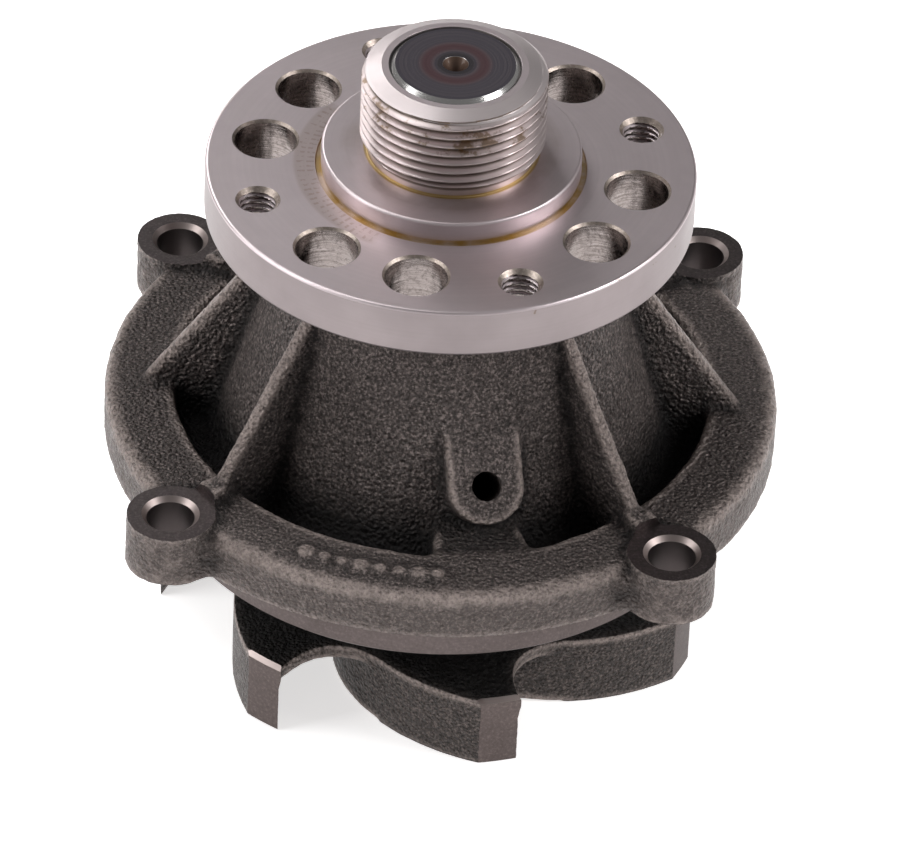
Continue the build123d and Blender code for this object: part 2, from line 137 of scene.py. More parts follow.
def cut(ob, cutters, op="DIFFERENCE"):
    for c in cutters:
        m = ob.modifiers.new("cut", "BOOLEAN")
        m.operation = op
        m.object = c
        m.solver = "MANIFOLD"
    bake_modifiers(ob)
    for c in cutters:
        bpy.data.objects.remove(c)


def cad_copy(node, name):
    src = NODES[node]
    me = src.data.copy()
    ob = bpy.data.objects.new(name, me)
    bpy.context.scene.collection.objects.link(ob)
    ob.matrix_world = src.matrix_world.copy()
    me.transform(ob.matrix_world)
    ob.matrix_world = Matrix.Identity(4)
    bm = bmesh.new()
    bm.from_mesh(me)
    bmesh.ops.remove_doubles(bm, verts=bm.verts, dist=2e-6)
    bm.to_mesh(me)
    bm.free()
    me.materials.clear()
    return ob


def join(ob, others):
    bm = bmesh.new()
    bm.from_mesh(ob.data)
    for o in others:
        bm.from_mesh(o.data)
    bm.to_mesh(ob.data)
    bm.free()
    for o in others:
        bpy.data.objects.remove(o)


def remesh(ob, voxel):
    m = ob.modifiers.new("remesh", "REMESH")
    m.mode = "VOXEL"
    m.voxel_size = voxel * MM
    m.adaptivity = 0.0
    bake_modifiers(ob)


def get_verts(me):
    v = np.empty(len(me.vertices) * 3)
    me.vertices.foreach_get("co", v)
    return v.reshape(-1, 3)


def set_verts(me, v):
    me.vertices.foreach_set("co", np.ascontiguousarray(v, dtype=float).ravel())
    me.update()


def smooth(me, rounds, factor=0.5, weight=None):
    """Plain neighbour averaging on the edges, with a gentle push back so it doesn't shrink."""
    e = np.empty(len(me.edges) * 2, dtype=int)
    me.edges.foreach_get("vertices", e)
    e = e.reshape(-1, 2)
    v = get_verts(me)
    n = len(v)
    deg = np.bincount(e.ravel(), minlength=n).astype(float)[:, None]
    for k in range(rounds):
        for f in (factor, -0.35 * factor):
            s = np.zeros_like(v)
            for c in range(3):
                s[:, c] = (np.bincount(e[:, 0], weights=v[e[:, 1], c], minlength=n)
                           + np.bincount(e[:, 1], weights=v[e[:, 0], c], minlength=n))
            d = (s / deg - v) * f
            if weight is not None:
                d *= weight[:, None]
            v = v + d
    set_verts(me, v)


def mesh_graph(me):
    e = np.empty(len(me.edges) * 2, dtype=int)
    me.edges.foreach_get("vertices", e)
    e = e.reshape(-1, 2)
    n = len(me.vertices)
    deg = np.maximum(np.bincount(e.ravel(), minlength=n), 1).astype(float)[:, None]

    def mean(x):
        s = np.zeros_like(x)
        for c in range(x.shape[1]):
            s[:, c] = (np.bincount(e[:, 0], weights=x[e[:, 1], c], minlength=n)
                       + np.bincount(e[:, 1], weights=x[e[:, 0], c], minlength=n))
        return s / deg
    return mean


def vertex_normals(me):
    nrm = np.empty(len(me.vertices) * 3)
    me.vertex_normals.foreach_get("vector", nrm)
    return nrm.reshape(-1, 3)


def bend(me, rounds=10):
    """Positive on crests and corners, negative in hollows, about 1 for a 1 mm radius."""
    mean = mesh_graph(me)
    v = get_verts(me)
    nrm = vertex_normals(me)
    a = v
    for k in range(rounds):
        a = mean(a)
    c = ((v - a) * nrm).sum(1)[:, None] / MM
    for k in range(3):
        c = mean(c)
    return c[:, 0]


def hollow_fillets(me, rounds):
    """Rounds the inside corners of a casting and leaves its crests."""
    mean = mesh_graph(me)
    c = bend(me, 8)
    w = np.clip(-c / 0.10, 0, 1)[:, None]
    for k in range(6):
        w = np.maximum(w, mean(w))
    v = get_verts(me)
    for k in range(rounds):
        v = v + (mean(v) - v) * 0.6 * w
    set_verts(me, v)


def web_blend(me, rounds):
    """Flows the foot of the drain boss into the rim and the cone."""
    mean = mesh_graph(me)
    v = get_verts(me)
    mm = v / MM
    r = np.hypot(mm[:, 0], mm[:, 1])
    a = (np.degrees(np.arctan2(mm[:, 1], mm[:, 0])) - 283.4 + 180.0) % 360.0 - 180.0
    w = np.clip((19.0 - np.abs(a)) / 4.0, 0, 1) * np.clip((r - 40.5) / 2.0, 0, 1) * np.clip((55.0 - r) / 2.0, 0, 1)
    w = w * np.clip((10.6 - mm[:, 2]) / 1.0, 0, 1)
    w = w[:, None]
    for k in range(rounds):
        v = v + (mean(v) - v) * 0.6 * w
    set_verts(me, v)


def mark_edges(ob):
    """Stores how far each point is a crest or a hollow, for the material's wear on crests and its painted shade in
    hollows.
    """
    me = ob.data
    c = np.clip(bend(me, 8) / 0.16, -1, 1)
    at = me.attributes.new("edge", "FLOAT", "POINT")
    at.data.foreach_set("value", np.ascontiguousarray(c, dtype=np.float32))


def lattice_noise(p, seed):
    """Seeded smooth value noise on points p, about -1..1."""
    rng = np.random.default_rng(seed)
    tab = rng.uniform(-1, 1, 4096)
    i = np.floor(p).astype(np.int64)
    f = p - i
    f = f * f * (3 - 2 * f)

    def h(a, b, c):
        return tab[(a * 73856093 ^ b * 19349663 ^ c * 83492791) & 4095]
    out = 0
    for dx in (0, 1):
        wx = f[:, 0] if dx else 1 - f[:, 0]
        for dy in (0, 1):
            wy = f[:, 1] if dy else 1 - f[:, 1]
            for dz in (0, 1):
                wz = f[:, 2] if dz else 1 - f[:, 2]
                out = out + wx * wy * wz * h(i[:, 0] + dx, i[:, 1] + dy, i[:, 2] + dz)
    return out


def cast_skin(me, seed, amount=1.0):
    """Sand-cast unevenness: slow waves, grain and a few pits."""
    v = get_verts(me)
    nrm = np.empty(len(me.vertices) * 3)
    me.vertex_normals.foreach_get("vector", nrm)
    nrm = nrm.reshape(-1, 3)
    mm = v / MM
    d = 0.075 * lattice_noise(mm / 7.0, seed)
    d += 0.055 * lattice_noise(mm / 2.6, seed + 1)
    g = lattice_noise(mm / 1.05, seed + 2)
    d += 0.075 * g
    d += 0.065 * lattice_noise(mm / 0.62, seed + 3)
    d -= 0.10 * np.clip(lattice_noise(mm / 1.5, seed + 4) - 0.62, 0, 1) * 3
    set_verts(me, v + nrm * (d * amount * MM)[:, None])


def finish_mesh(ob, angle=35.0):
    me = ob.data
    bm = bmesh.new()
    bm.from_mesh(me)
    bmesh.ops.dissolve_degenerate(bm, dist=1e-7, edges=bm.edges)
    loose = [v for v in bm.verts if not v.link_faces]
    if loose:
        bmesh.ops.delete(bm, geom=loose, context="VERTS")
    bm.to_mesh(me)
    bm.free()
    me.polygons.foreach_set("use_smooth", np.ones(len(me.polygons), dtype=bool))
    me.set_sharp_from_angle(angle=math.radians(angle))
    me.update()


def face_data(me):
    c = np.empty(len(me.polygons) * 3)
    n = np.empty(len(me.polygons) * 3)
    me.polygons.foreach_get("center", c)
    me.polygons.foreach_get("normal", n)
    return c.reshape(-1, 3) / MM, n.reshape(-1, 3)


# ------------------------------------------------------------------ material tools
class Mat:
    def __init__(self, name):
        self.m = bpy.data.materials.new(name)
        self.m.use_nodes = True
        self.t = self.m.node_tree
        self.b = self.t.nodes["Principled BSDF"]
        self.co = self.node("ShaderNodeTexCoord").outputs["Object"]
        sep = self.node("ShaderNodeSeparateXYZ", {0: self.co})
        self.x, self.y, self.z = sep.outputs[0], sep.outputs[1], sep.outputs[2]
        self._r = None

    def node(self, kind, ins=None, **attrs):
        n = self.t.nodes.new(kind)
        for k, v in attrs.items():
            setattr(n, k, v)
        for k, v in (ins or {}).items():
            s = n.inputs[k]
            if isinstance(v, bpy.types.NodeSocket):
                self.t.links.new(v, s)
            else:
                s.default_value = v
        return n

    def math(self, op, a, b=0.0, c=0.0, clamp=False):
        n = self.node("ShaderNodeMath", {0: a, 1: b, 2: c}, operation=op)
        n.use_clamp = clamp
        return n.outputs[0]

    @property
    def r(self):
        """Distance from the shaft axis, metres."""
        if self._r is None:
            xx = self.math("MULTIPLY", self.x, self.x)
            yy = self.math("MULTIPLY_ADD", self.y, self.y, xx)
            self._r = self.math("SQRT", yy)
        return self._r

    def rng(self, v, a, b, lo=0.0, hi=1.0):
        n = self.node("ShaderNodeMapRange", {0: v, 1: a, 2: b, 3: lo, 4: hi})
        n.clamp = True
        return n.outputs[0]

    def band(self, v, a, b, soft):
        """1 between a and b, falling to 0 over soft."""
        up = self.rng(v, a - soft, a)
        dn = self.rng(v, b, b + soft, 1.0, 0.0)
        return self.math("MULTIPLY", up, dn)

    def noise(self, scale, detail=3.0, rough=0.55, vec=None, w=None):
        n = self.node("ShaderNodeTexNoise", {"Vector": vec or self.co, "Scale": scale, "Detail": detail, "Roughness": rough})
        return n.outputs[0]

    def voronoi(self, scale, vec=None, feature="F1"):
        n = self.node("ShaderNodeTexVoronoi", {"Vector": vec or self.co, "Scale": scale}, feature=feature)
        return n.outputs[0]

    def mix(self, fac, a, b):
        n = self.node("ShaderNodeMix", data_type="RGBA")
        for k, v in ((0, fac), (6, a), (7, b)):
            s = n.inputs[k]
            if isinstance(v, bpy.types.NodeSocket):
                self.t.links.new(v, s)
            elif k == 0:
                s.default_value = v
            else:
                s.default_value = (*v, 1.0)
        return n.outputs[2]

    def bump(self, height, strength, dist, prev=None):
        ins = {"Strength": strength, "Distance": dist, "Height": height}
        if prev is not None:
            ins["Normal"] = prev
        return self.node("ShaderNodeBump", ins).outputs[0]

    def set(self, **kw):
        for k, v in kw.items():
            s = self.b.inputs[k.replace("_", " ")]
            if isinstance(v, bpy.types.NodeSocket):
                self.t.links.new(v, s)
            elif isinstance(v, tuple):
                s.default_value = (*v, 1.0) if len(v) == 3 else v
            else:
                s.default_value = v
        return self.m


def turned_vec(g, k_r=1.0, k_z=1.0):
    """Coordinates that only vary across turning marks."""
    return g.node("ShaderNodeCombineXYZ", {0: g.math("MULTIPLY", g.r, k_r), 1: g.math("MULTIPLY", g.z, k_z), 2: 0.0}).outputs[0]


def cast_iron(name, dark, light, rim=True):
    g = Mat(name)
    low = g.noise(95.0, 3.0, 0.6)
    grain = g.noise(1500.0, 4.0, 0.7)
    fine = g.noise(4200.0, 2.0, 0.6)
    cells = g.voronoi(1900.0)
    mid = g.noise(420.0, 3.0, 0.6)
    f = g.rng(g.math("MULTIPLY_ADD", grain, 0.7, g.math("MULTIPLY", fine, 0.3)), 0.36, 0.66)
    col = g.mix(f, dark, light)
    col = g.mix(g.rng(low, 0.35, 0.7, 0.0, 0.45), col, tuple(min(1, c * 0.55) for c in light))
    # painted glints: pale specks where the sand grains stood proud, standing in for light caught on the grain
    glint_speck = g.rng(cells, 0.10, 0.22, 1.0, 0.0)
    glint_speck = g.math("MULTIPLY", glint_speck, g.rng(fine, 0.5, 0.66))
    col = g.mix(g.math("MULTIPLY", glint_speck, 0.55), col, (0.50, 0.43, 0.40))
    spark = g.noise(1800.0, 2.0, 0.6)
    # painted glints: bright flecks stand in for sparkle on the grain; the darker flecks after them are grain tone
    col = g.mix(g.rng(spark, 0.53, 0.64, 0.0, 0.55), col, tuple(min(1, c * 2.2) for c in light))
    col = g.mix(g.rng(spark, 0.47, 0.36, 0.0, 0.60), col, tuple(c * 0.6 for c in dark))
    if rim:
        # painted shade: the pocket floors inside the rim are darkened to near black
        pocket_shade = g.math("MULTIPLY", g.rng(g.r, 0.0530, 0.0518), g.rng(g.z, 0.0150, 0.0070))
        pocket_shade = g.math("MULTIPLY", pocket_shade, g.rng(g.z, -0.001, 0.0005))
        col = g.mix(g.math("MULTIPLY", pocket_shade, 0.92), col, (0.0040, 0.0036, 0.0036))
        wall = g.math("MULTIPLY", g.rng(g.r, 0.0630, 0.0655), g.rng(g.z, 0.0108, 0.0085))
        col = g.mix(g.math("MULTIPLY", wall, 0.40), col, (0.135, 0.110, 0.101))
    up = None
    if not rim:
        # painted shade: the impeller's upward faces are darkened to near black, where the housing shades them
        nz = g.node("ShaderNodeSeparateXYZ", {0: g.node("ShaderNodeNewGeometry").outputs["Normal"]}).outputs[2]
        up = g.math("MULTIPLY", g.rng(nz, 0.55, 0.80), 0.90)
    # corners and crests rubbed to bare metal
    edge = g.node("ShaderNodeAttribute", attribute_name="edge").outputs["Fac"]
    worn = g.math("MULTIPLY", g.rng(edge, 0.15, 0.75), g.rng(grain, 0.34, 0.56, 0.25, 1.0))
    col = g.mix(g.math("MULTIPLY", worn, 0.80), col, (0.36, 0.300, 0.275))
    # painted shade darkens the hollows and inside corners
    hollow_shade = g.rng(edge, -0.10, -0.60)
    col = g.mix(g.math("MULTIPLY", hollow_shade, 0.75), col, (0.010, 0.009, 0.009))
    if up is not None:
        # painted shade on the impeller's upward faces
        col = g.mix(up, col, (0.0042, 0.0038, 0.0036))
    rough = g.rng(g.math("ADD", mid, g.math("MULTIPLY", grain, 0.4)), 0.5, 0.95, 0.30, 0.52)
    h = g.math("MULTIPLY_ADD", grain, 0.8, g.math("MULTIPLY", fine, 0.30))
    sand = g.voronoi(1350.0, feature="SMOOTH_F1")
    h = g.math("MULTIPLY_ADD", sand, -1.15, h)
    n1 = g.bump(h, 1.0, 0.00074)
    n2 = g.bump(mid, 0.4, 0.0006, n1)
    return g.set(Base_Color=col, Roughness=rough, Metallic=0.65, Normal=n2)


def turned_steel(name, base, tint, rough=(0.26, 0.42), marks=0.25, stains_and_shade=None, grain=0.0):
    g = Mat(name)
    vec = turned_vec(g)
    fine = g.noise(9000.0, 2.0, 0.7, vec)
    wide = g.noise(1400.0, 2.0, 0.6, vec)
    cloud = g.noise(55.0, 4.0, 0.6)
    col = g.mix(g.rng(cloud, 0.35, 0.72, 0.0, 0.7), base, tint)
    col = g.mix(g.rng(wide, 0.35, 0.7, 0.0, 0.22), col, tuple(c * 0.78 for c in base))
    if grain:
        sand = g.noise(1700.0, 3.0, 0.7)
        col = g.mix(g.rng(sand, 0.52, 0.66, 0.0, grain), col, tuple(min(1.0, c * 1.8) for c in base))
        col = g.mix(g.rng(sand, 0.46, 0.34, 0.0, grain), col, tuple(c * 0.45 for c in base))
    if stains_and_shade:
        col = stains_and_shade(g, col)
    ro = g.rng(g.math("MULTIPLY_ADD", fine, 0.5, g.math("MULTIPLY", cloud, 0.5)), 0.3, 0.7, rough[0], rough[1])
    n = g.bump(g.math("MULTIPLY_ADD", fine, 0.6, g.math("MULTIPLY", wide, 0.5)), marks, 0.00004)
    scr = g.noise(2600.0, 3.0, 0.7)
    n = g.bump(scr, 0.08, 0.00005, n)
    return g.set(Base_Color=col, Roughness=ro, Metallic=1.0, Normal=n)


def drilled_look(name):
    """A bore wall with feed rings and scratches."""
    g = Mat(name)
    vec = turned_vec(g, 0.05, 1.0)
    rings = g.noise(3200.0, 2.0, 0.7, vec)
    wide = g.noise(900.0, 2.0, 0.6, vec)
    scr = g.noise(1300.0, 3.0, 0.7)
    col = g.mix(g.rng(rings, 0.36, 0.66), (0.36, 0.315, 0.305), (0.190, 0.162, 0.150))
    col = g.mix(g.rng(scr, 0.50, 0.68, 0.0, 0.35), col, (0.120, 0.100, 0.088))
    n = g.bump(g.math("MULTIPLY_ADD", rings, 0.7, g.math("MULTIPLY", wide, 0.6)), 0.6, 0.00007)
    n = g.bump(scr, 0.12, 0.00006, n)
    return g.set(Base_Color=col, Roughness=g.rng(scr, 0.35, 0.65, 0.14, 0.34), Metallic=1.0, Normal=n)


# stains and handling marks on the hub, with painted shade in the thread roots and the shaft gap
def hub_stains_and_shade(g, col):
    brown = (0.20, 0.115, 0.045)
    # dried oil in the groove at the pilot's foot
    ring = g.math("MULTIPLY", g.band(g.r, 0.02505, 0.02605, 0.00022), g.band(g.z, 0.0625, 0.0638, 0.0003))
    patch = g.rng(g.noise(160.0, 3.0, 0.6), 0.40, 0.60)
    col = g.mix(g.math("MULTIPLY", ring, g.math("MULTIPLY_ADD", patch, 0.5, 0.4)), col, (0.40, 0.27, 0.08))
    # stain on the pilot face close to the thread
    foot = g.math("MULTIPLY", g.band(g.r, 0.0160, 0.0200, 0.0022), g.band(g.z, 0.0670, 0.0700, 0.0006))
    patch2 = g.rng(g.noise(70.0, 4.0, 0.6), 0.36, 0.66)
    col = g.mix(g.math("MULTIPLY", foot, g.math("MULTIPLY", patch2, 0.32)), col, brown)
    line = g.math("MULTIPLY", g.band(g.r, 0.0163, 0.0169, 0.0003), g.band(g.z, 0.0677, 0.0681, 0.0002))
    col = g.mix(g.math("MULTIPLY", line, 0.8), col, (0.42, 0.29, 0.08))
    # painted shade: the thread roots are darkened brown
    root_shade = g.math("MULTIPLY", g.rng(g.r, 0.01730, 0.01680), g.band(g.z, 0.0695, 0.0862, 0.0003))
    root_shade = g.math("MULTIPLY", root_shade, g.rng(g.r, 0.0155, 0.0161))
    col = g.mix(g.math("MULTIPLY", root_shade, 0.80), col, (0.085, 0.066, 0.045))
    # brown smears high on the thread
    high = g.math("MULTIPLY", g.band(g.z, 0.0790, 0.0868, 0.0018), g.band(g.r, 0.0168, 0.0182, 0.0004))
    patch3 = g.rng(g.noise(210.0, 4.0, 0.7), 0.54, 0.62)
    col = g.mix(g.math("MULTIPLY", high, g.math("MULTIPLY", patch3, 0.8)), col, (0.19, 0.125, 0.07))
    # a faint etched band beside the pilot: plain ticks, no characters
    turn = g.math("ARCTAN2", g.y, g.math("MULTIPLY", g.x, -1.0))
    span = g.math("MULTIPLY", g.rng(turn, 0.62, 0.56), g.rng(turn, -1.16, -1.08))
    rows = g.math("ADD", g.band(g.r, 0.02640, 0.02785, 0.00012), g.band(g.r, 0.02835, 0.02975, 0.00012))
    teeth = g.rng(g.math("SINE", g.math("MULTIPLY", turn, 118.0)), -0.1, 0.5)
    gaps = g.rng(g.noise(700.0, 2.0, 0.6), 0.42, 0.50)
    ink = g.math("MULTIPLY", g.math("MULTIPLY", rows, g.math("MULTIPLY", teeth, gaps)), 0.55)
    haze = g.math("MULTIPLY", g.band(g.r, 0.0258, 0.0300, 0.0007), 0.30)
    ink = g.math("MAXIMUM", ink, haze)
    ink = g.math("MULTIPLY", g.math("MULTIPLY", ink, span), g.band(g.z, 0.0625, 0.0641, 0.0003))
    col = g.mix(ink, col, (0.27, 0.185, 0.130))
    # painted shade: a dark line in the gap where the shaft meets the nose
    gap_shade = g.math("MULTIPLY", g.band(g.r, 0.01235, 0.01272, 0.00008), g.rng(g.z, 0.0855, 0.0862))
    col = g.mix(g.math("MULTIPLY", gap_shade, 0.9), col, (0.020, 0.018, 0.016))
    # a few handling marks on the rim of the flange
    side = g.rng(g.r, 0.0469, 0.0472)
    marks = g.rng(g.noise(330.0, 2.0, 0.5), 0.735, 0.76)
    col = g.mix(g.math("MULTIPLY", g.math("MULTIPLY", side, marks), 0.7), col, (0.16, 0.11, 0.075))
    return col


M_CAST = cast_iron("cast_iron_oiled", (0.017, 0.0145, 0.0140), (0.150, 0.124, 0.116))
M_IMP = cast_iron("cast_iron_impeller", (0.014, 0.0120, 0.0115), (0.098, 0.080, 0.073), rim=False)
M_HUB = turned_steel("hub_turned_steel", (0.64, 0.562, 0.576), (0.53, 0.460, 0.478), (0.36, 0.50), stains_and_shade=hub_stains_and_shade)
M_THREAD = turned_steel("thread_steel", (0.60, 0.518, 0.515), (0.46, 0.388, 0.382), (0.34, 0.48), 0.5, stains_and_shade=hub_stains_and_shade)
# painted shade: the flange's outer side is the hub steel with a darker base, toning down its reflection of the floor
M_SIDE_SHADED = turned_steel("flange_rim_steel_shaded", (0.310, 0.268, 0.271), (0.250, 0.215, 0.219), (0.34, 0.48), stains_and_shade=hub_stains_and_shade)
M_DRILL = drilled_look("drilled_steel")
M_BRIGHT = turned_steel("fresh_cut_chamfer", (0.62, 0.560, 0.562), (0.50, 0.445, 0.445), (0.42, 0.56), 0.5)
M_RING = turned_steel("hole_edge_steel", (0.36, 0.305, 0.272), (0.21, 0.172, 0.145), (0.36, 0.50), 1.0, grain=0.5)
M_EDGE = turned_steel("turned_iron_edge", (0.36, 0.305, 0.290), (0.25, 0.207, 0.197), (0.36, 0.50), 0.35)
M_FACE = turned_steel("machined_iron_face", (0.105, 0.088, 0.087), (0.075, 0.063, 0.063), (0.34, 0.46), 0.3, grain=0.45)
M_HOLE = turned_steel("drilled_iron", (0.085, 0.071, 0.070), (0.055, 0.046, 0.045), (0.36, 0.50), 0.4)
M_REG = turned_steel("turned_iron", (0.122, 0.100, 0.097), (0.088, 0.072, 0.069), (0.36, 0.50), 0.5, grain=0.28)
M_VANE = turned_steel("turned_iron_vane", (0.122, 0.099, 0.094), (0.084, 0.067, 0.064), (0.38, 0.52), 0.8, grain=0.35)


def shaft_look():
    g = Mat("shaft_ground_steel")
    vec = turned_vec(g)
    fine = g.noise(12000.0, 2.0, 0.6, vec)
    rings = g.noise(2100.0, 2.0, 0.5, vec)
    end = g.math("MULTIPLY", g.rng(g.z, 0.08725, 0.08729), g.rng(g.r, 0.01165, 0.01150))
    col = g.mix(end, (0.50, 0.49, 0.48), (0.150, 0.136, 0.163))
    col = g.mix(g.math("MULTIPLY", end, g.rng(rings, 0.45, 0.62, 0.0, 0.8)), col, (0.245, 0.215, 0.235))
    red = g.math("MULTIPLY", end, g.band(g.r, 0.0050, 0.0062, 0.0012))
    col = g.mix(g.math("MULTIPLY", red, 0.55), col, (0.22, 0.085, 0.085))
    dot = g.math("MULTIPLY", g.rng(g.z, 0.08728, 0.08715), g.rng(g.r, 0.0032, 0.0028))
    dot = g.math("MULTIPLY", dot, g.rng(g.z, 0.0700, 0.0705))
    col = g.mix(g.math("MULTIPLY", dot, 0.95), col, (0.085, 0.045, 0.028))
    halo = g.math("MULTIPLY", end, g.band(g.r, 0.0024, 0.0034, 0.0006))
    col = g.mix(g.math("MULTIPLY", halo, 0.6), col, (0.015, 0.014, 0.016))
    n = g.bump(g.math("MULTIPLY_ADD", rings, 0.6, g.math("MULTIPLY", fine, 0.3)), 0.3, 0.00006)
    ro = g.math("MULTIPLY_ADD", dot, 0.42, g.rng(fine, 0.3, 0.7, 0.12, 0.26))
    return g.set(Base_Color=col, Roughness=ro, Metallic=0.85, Normal=n, Coat_Weight=0.25, Coat_Roughness=0.10)


def simple_metal(name, base, rough, scale=900.0):
    g = Mat(name)
    vec = turned_vec(g)
    f = g.noise(5200.0, 2.0, 0.6, vec)
    c = g.noise(scale, 3.0, 0.6)
    col = g.mix(g.rng(c, 0.35, 0.7), base, tuple(x * 0.72 for x in base))
    return g.set(Base_Color=col, Roughness=g.rng(f, 0.3, 0.7, rough - 0.06, rough + 0.08), Metallic=1.0,
                 Normal=g.bump(f, 0.2, 0.00004))


def rubber(name):
    g = Mat(name)
    f = g.noise(2600.0, 3.0, 0.6)
    c = g.noise(300.0, 3.0, 0.6)
    col = g.mix(g.rng(c, 0.35, 0.7), (0.022, 0.022, 0.023), (0.040, 0.039, 0.038))
    return g.set(Base_Color=col, Roughness=g.rng(f, 0.3, 0.7, 0.48, 0.68), Normal=g.bump(f, 0.35, 0.00008))


def dull(name, a, b, rough):
    g = Mat(name)
    f = g.noise(3200.0, 3.0, 0.65)
    c = g.noise(420.0, 3.0, 0.6)
    return g.set(Base_Color=g.mix(g.rng(c, 0.35, 0.7), a, b), Roughness=g.rng(f, 0.3, 0.7, rough - 0.08, rough + 0.1),
                 Normal=g.bump(f, 0.25, 0.00006))


NODE_LOOKS = {
    "bearing_shaft": shaft_look(),
    "bearing_outer_ring": simple_metal("bearing_ring_steel", (0.55, 0.55, 0.56), 0.24),
    "bearing_balls": simple_metal("ball_steel", (0.66, 0.66, 0.67), 0.12),
    "bearing_rollers": simple_metal("roller_steel", (0.62, 0.62, 0.63), 0.18),
    "ball_cage": dull("cage_nylon", (0.50, 0.33, 0.14), (0.42, 0.27, 0.11), 0.45),
    "roller_cage": dull("cage_nylon_rear", (0.50, 0.33, 0.14), (0.42, 0.27, 0.11), 0.45),
    "bearing_front_seal": rubber("seal_rubber_front"),
    "bearing_rear_seal": rubber("seal_rubber_rear"),
    "front_dust_shield": simple_metal("shield_steel", (0.46, 0.44, 0.42), 0.34),
    "shaft_slinger": simple_metal("slinger_steel", (0.46, 0.44, 0.42), 0.34),
    "seal_case": simple_metal("seal_case_steel", (0.52, 0.45, 0.33), 0.30),
    "seal_bellows": rubber("bellows_rubber"),
    "seal_spring": simple_metal("spring_wire", (0.50, 0.50, 0.50), 0.28),
    "spring_seat_ring": simple_metal("spring_seat_steel", (0.50, 0.49, 0.48), 0.32),
    "carbon_face_ring": dull("seal_carbon", (0.045, 0.045, 0.048), (0.060, 0.060, 0.063), 0.38),
    "seal_mating_ring": dull("seal_ceramic", (0.74, 0.72, 0.66), (0.66, 0.63, 0.57), 0.30),
    "mating_ring_boot": rubber("boot_rubber"),
}
for node, m in NODE_LOOKS.items():
    ob = NODES[node]
    if not ob.material_slots:
        ob.data.materials.append(m)
    for s in ob.material_slots:
        s.link = "OBJECT"
        s.material = m

# ------------------------------------------------------------------ drive hub
PITCH, THREAD_R, THREAD_H, PHASE = 2.0, 17.9, 1.20, 0.055


def thread_drop(theta, z, pitch, depth, phase=0.0):
    """How far the thread surface lies inside its crest radius."""
    u = (z / pitch - theta / (2 * math.pi) + phase) % 1.0
    d = np.abs(u - 0.5) * pitch
    d = 0.5 * pitch - d                       # 0 in the root, pitch/2 at the crest
    drop = (0.5 * pitch - d - pitch / 16) * math.tan(math.radians(60))
    return np.clip(drop, 0, depth)


def nose_env(z):
    return np.interp(z, [67.8, 70.1, 71.0, 85.0, 85.6, 86.9], [16.4, 16.4, 17.9, 17.9, 17.2, 14.1])


def hub_radius(r, z, th):
    t = THREAD_R - thread_drop(th, z, PITCH, THREAD_H, PHASE)
    on = (z > 70.0) & (z < 86.85) & (r > 15.0)
    return np.where(on, np.minimum(nose_env(z), t), r)


prof = [(12.5, 52.0), (20.4, 52.0), (20.85, 52.15), (21.0, 52.6), (21.0, 53.5), (46.85, 53.5), (47.2, 53.65), (47.35, 54.0)]
prof += [(47.35, z) for z in np.linspace(55.0, 62.0, 4)]
prof += [(47.35, 62.95), (47.27, 63.2), (47.08, 63.40), (46.8, 63.5), (40.0, 63.5), (32.0, 63.5),
         (26.2, 63.5), (26.0, 63.15), (25.1, 63.15), (25.1, 65.2), (25.1, 67.3), (25.0, 67.58), (24.85, 67.72), (24.6, 67.8),
         (20.0, 67.8), (16.6, 67.8), (16.45, 67.9), (16.4, 68.2), (16.4, 69.2)]
prof += [(16.9, z) for z in np.arange(70.1, 86.86, 0.1)]
prof += [(14.1, 86.9), (12.8, 86.9), (12.6, 86.75), (12.5, 86.4), (12.5, 70.0)]
hub = ring_lathe("hub_flange_turned", prof, 320, hub_radius)

cutters = []
for q in (0, 90, 180, 270):
    for a in (30, 60):
        cutters.append(axis_lathe("hole", [(7.1, ZB - 0.6), (6.0, ZB + 0.5), (6.0, ZF - 0.5), (7.1, ZF + 0.6)], 96,
                                  at=pol(36.4, HUB_ANGLE + a + q)))


def tap(r, z, th):
    t = 4.0 - thread_drop(th, z, 1.25, 0.6)
    t = np.maximum(t, 4.35 - (ZF - z))
    return np.maximum(t, 4.35 - (z - ZB))


for q in (0, 90, 180, 270):
    zz = np.arange(ZB - 0.6, ZF + 0.61, 0.1)
    cutters.append(axis_lathe("tap", [(4.0, z) for z in zz], 48, tap, at=pol(39.2, HUB_ANGLE + q)))
cut(hub, cutters)
hub.data.materials.clear()
hub.data.materials.append(M_HUB)
hub.data.materials.append(M_BRIGHT)
hub.data.materials.append(M_THREAD)
hub.data.materials.append(M_SIDE_SHADED)
hub.data.materials.append(M_DRILL)
hub.data.materials.append(M_RING)
c, n = face_data(hub.data)
fr = np.hypot(c[:, 0], c[:, 1])
idx = np.zeros(len(c), dtype=int)
idx[(c[:, 2] > 68.0) & (fr > 16.0)] = 2
idx[(fr > 47.0) & (c[:, 2] < 63.0)] = 3
idx[(fr > 29.0) & (fr < 44.0) & (np.abs(n[:, 2]) < 0.85) & (c[:, 2] > 53.4)] = 4
idx[(fr > 29.0) & (fr < 45.0) & (n[:, 2] > 0.5) & (n[:, 2] < 0.85) & (c[:, 2] > 62.3) & (c[:, 2] < 63.5)] = 5
idx[(c[:, 2] > 85.1) & (fr > 14.2) & (n[:, 2] > 0.2) & (n[:, 2] < 0.97)] = 1
hub.data.polygons.foreach_set("material_index", idx)
finish_mesh(hub, 14)
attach(hub, "rotor")
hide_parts("hub_flange")

